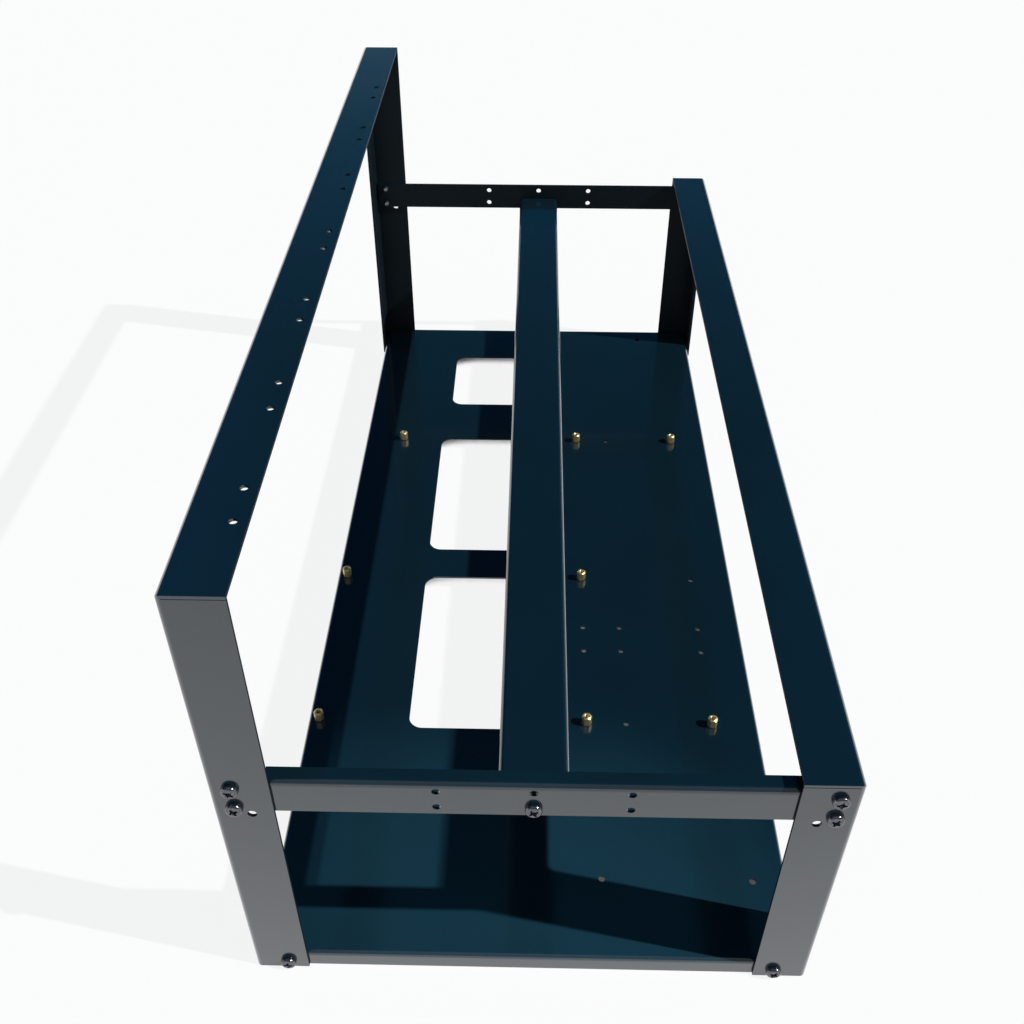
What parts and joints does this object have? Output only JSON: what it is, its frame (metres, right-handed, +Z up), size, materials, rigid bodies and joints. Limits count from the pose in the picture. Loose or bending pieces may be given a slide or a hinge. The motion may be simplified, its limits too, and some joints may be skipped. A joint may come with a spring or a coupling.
{
  "type": "mining rig frame",
  "caption": "Open frame of folded sheet for a computer with several graphics cards: a board tray between a tall and a low side frame, joined by crossbars and a card bar.",
  "frame": {"origin": "centre of the footprint, on the floor", "axes": "+X to the low side frame, +Y to the rear, +Z up"},
  "size_m": [0.2656, 0.6056, 0.246],
  "materials": {
    "powder_coat": "satin blue-black powder coat",
    "standoff_brass": "bright turned brass",
    "screw_steel": "black plated steel"
  },
  "bodies": {
    "root": {"base_tray": "powder_coat", "tall_side_frame": "powder_coat", "low_side_frame": "powder_coat", "front_crossbar": "powder_coat", "rear_crossbar": "powder_coat", "card_bar": "powder_coat", "standoff_1": "standoff_brass", "standoff_2": "standoff_brass", "standoff_3": "standoff_brass", "standoff_4": "standoff_brass", "standoff_5": "standoff_brass", "standoff_6": "standoff_brass", "standoff_7": "standoff_brass", "standoff_8": "standoff_brass", "leg_screws": "screw_steel", "foot_screws": "screw_steel", "card_bar_screws": "screw_steel"}
  },
  "joints": []
}
